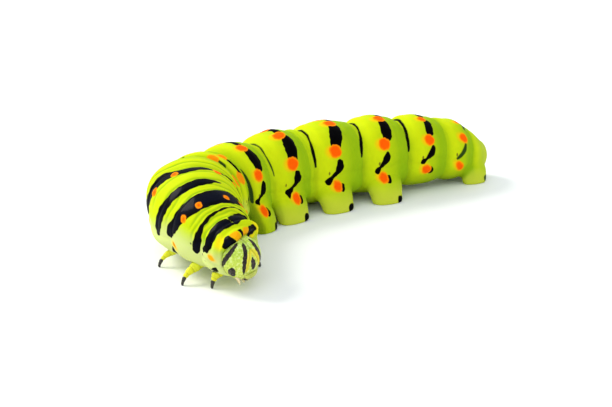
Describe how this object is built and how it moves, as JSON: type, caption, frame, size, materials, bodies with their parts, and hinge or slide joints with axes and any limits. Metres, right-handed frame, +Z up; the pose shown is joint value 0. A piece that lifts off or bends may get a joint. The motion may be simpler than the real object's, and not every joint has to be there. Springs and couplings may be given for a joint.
{
  "type": "swallowtail butterfly larva",
  "caption": "Life-size full-grown larva of a swallowtail butterfly in a walking stance: ringed soft body bent at the thorax, round head, jointed legs and fleshy prolegs with flat soles.",
  "frame": {"origin": "centre of the bounding box on the floor that the feet stand on", "axes": "+X along the hind body towards the tail, which is the longest extent; +Z up, the shortest extent; +Y across, away from the side that the head is turned to"},
  "size_m": [0.0354, 0.0212, 0.0068],
  "materials": {
    "skin": "soft satin, bright yellow-green with black bands and orange spots",
    "head_shell": "satin, pale green with dark brown stripes",
    "leg_flesh": "satin yellow with a dark claw",
    "horn": "polished dark brown",
    "antenna": "satin cream"
  },
  "bodies": {
    "root": {"head": "head_shell", "mouthparts": "horn", "antenna_left": "antenna", "antenna_right": "antenna", "thorax_1": "skin", "thorax_2": "skin", "thorax_3": "skin", "abdomen_1": "skin", "abdomen_2": "skin", "abdomen_3": "skin", "abdomen_4": "skin", "abdomen_5": "skin", "abdomen_6": "skin", "abdomen_7": "skin", "abdomen_8": "skin", "anal_segment": "skin", "leg_front_left": "leg_flesh", "leg_front_right": "leg_flesh", "leg_middle_left": "leg_flesh", "leg_middle_right": "leg_flesh", "leg_hind_left": "leg_flesh", "leg_hind_right": "leg_flesh", "proleg_3_left": "skin", "proleg_3_right": "skin", "proleg_4_left": "skin", "proleg_4_right": "skin", "proleg_5_left": "skin", "proleg_5_right": "skin", "proleg_6_left": "skin", "proleg_6_right": "skin", "anal_proleg_left": "skin", "anal_proleg_right": "skin"}
  },
  "joints": []
}
